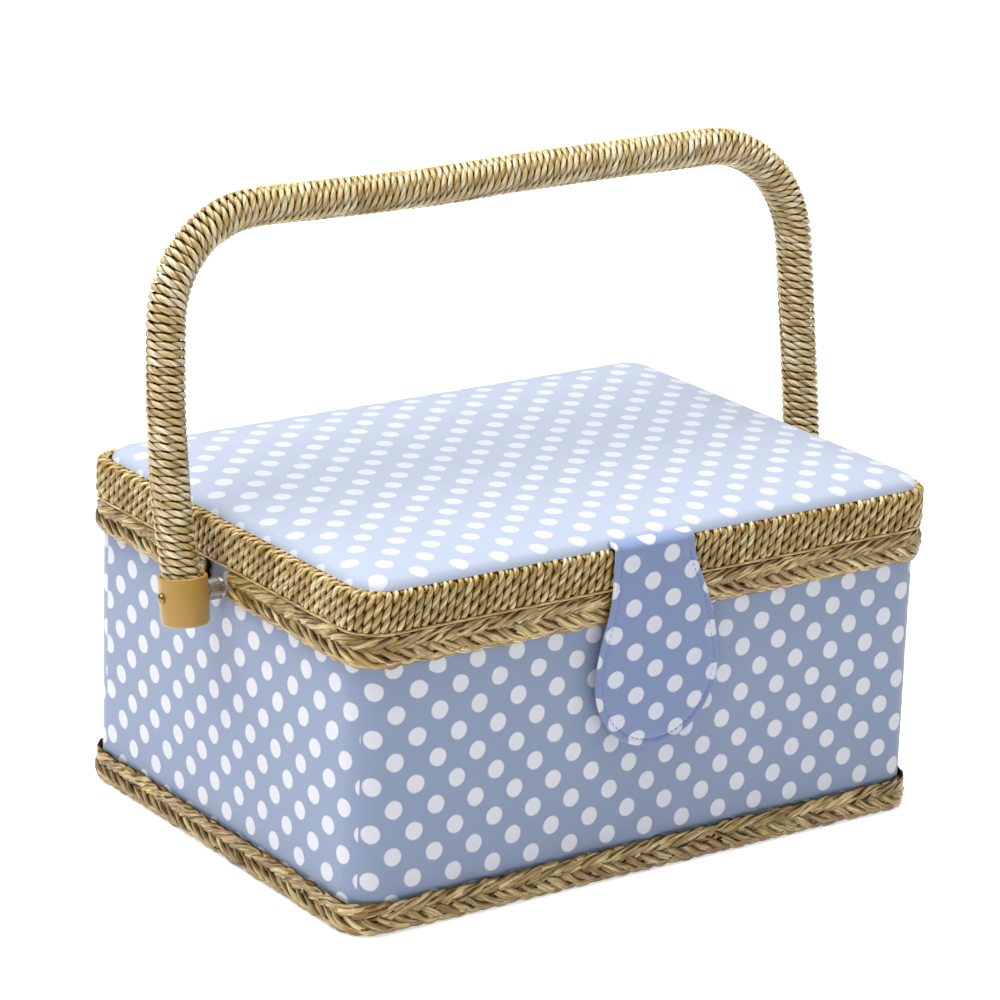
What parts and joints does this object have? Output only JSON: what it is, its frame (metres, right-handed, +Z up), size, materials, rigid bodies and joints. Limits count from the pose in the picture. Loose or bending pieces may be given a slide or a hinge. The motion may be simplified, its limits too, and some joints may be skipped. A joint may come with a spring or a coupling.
{
  "type": "sewing basket",
  "caption": "Fabric-covered sewing basket with a padded lid, flap fastening, braided trim, lift-out tray and an arched cord-wound handle",
  "frame": {"origin": "centre of the flat underside of the base", "axes": "+X along the long side, to the right as seen from the front; +Y from the front, where the flap is, to the back; +Z up"},
  "size_m": [0.3662, 0.2378, 0.2926],
  "materials": {
    "dotted_cloth": "woven cotton with a dot pattern",
    "lid_cloth": "woven cotton with a dot pattern, padded",
    "lining_cloth": "plain matt lining",
    "elastic": "woven elastic",
    "foam": "open-cell foam",
    "paper_cord": "twisted paper cord, slightly glossy",
    "braid": "flat plaited paper straw",
    "board": "raw fibreboard",
    "card": "plain card",
    "handle_tube": "plain tube",
    "tray_plastic": "semi-clear moulding",
    "cap_plastic": "moulded, satin",
    "clear_plastic": "clear moulding",
    "brass": "polished",
    "steel": "zinc plated"
  },
  "bodies": {
    "basket": {"base_cover": "card", "base_board": "board", "floor_pad": "lining_cloth", "front_wall": "board", "back_wall": "board", "left_wall": "board", "right_wall": "board", "outer_cloth": "dotted_cloth", "wall_lining": "lining_cloth", "front_ledge": "lining_cloth", "back_ledge": "lining_cloth", "left_ledge": "lining_cloth", "right_ledge": "lining_cloth", "sewing_tray": "tray_plastic", "top_braid_front": "braid", "top_braid_back": "braid", "bottom_braid": "braid", "catch_magnet": "steel", "hinge_cord_left": "paper_cord", "hinge_cord_right": "paper_cord"},
    "lid": {"lid_frame": "board", "lid_rim_wrap": "paper_cord", "lid_board": "board", "lid_lining": "lining_cloth", "lid_foam": "foam", "lid_cover": "lid_cloth", "pincushion": "dotted_cloth", "lid_pocket": "lining_cloth", "pocket_elastic": "elastic", "flap_anchor": "dotted_cloth"},
    "flap": {"flap_front_cloth": "dotted_cloth", "flap_stiffener": "card", "flap_magnet": "steel", "flap_back_cloth": "dotted_cloth"},
    "rivets": {"rivet_left": "brass", "rivet_right": "brass", "washer_left": "steel", "washer_right": "steel", "spacer_left": "clear_plastic", "spacer_right": "clear_plastic"},
    "handle": {"handle_core": "handle_tube", "handle_wrap": "paper_cord", "cap_left": "cap_plastic", "cap_right": "cap_plastic"}
  },
  "joints": [
    {"name": "lid_hinge", "type": "hinge", "parent": "basket", "child": "lid", "pos_m": [0, 0.1155, 0.13555], "axis": [-1, 0, 0], "range_deg": [0, 100]},
    {"name": "flap_hinge", "type": "hinge", "parent": "lid", "child": "flap", "pos_m": [0, -0.11565, 0.1537], "axis": [-1, 0, 0], "range_deg": [0, 100]},
    {"name": "rivet_turn", "type": "hinge", "parent": "basket", "child": "rivets", "pos_m": [0, 0, 0.1235], "axis": [-1, 0, 0], "range_deg": [0, 90]},
    {"name": "handle_swing", "type": "hinge", "parent": "rivets", "child": "handle", "pos_m": [0, 0, 0.1235], "axis": [-1, 0, 0], "range_deg": [-127, 21]}
  ],
  "couplings": [
    {"joint": "rivet_turn", "follows": "lid_hinge", "ratio": 0.9}
  ]
}
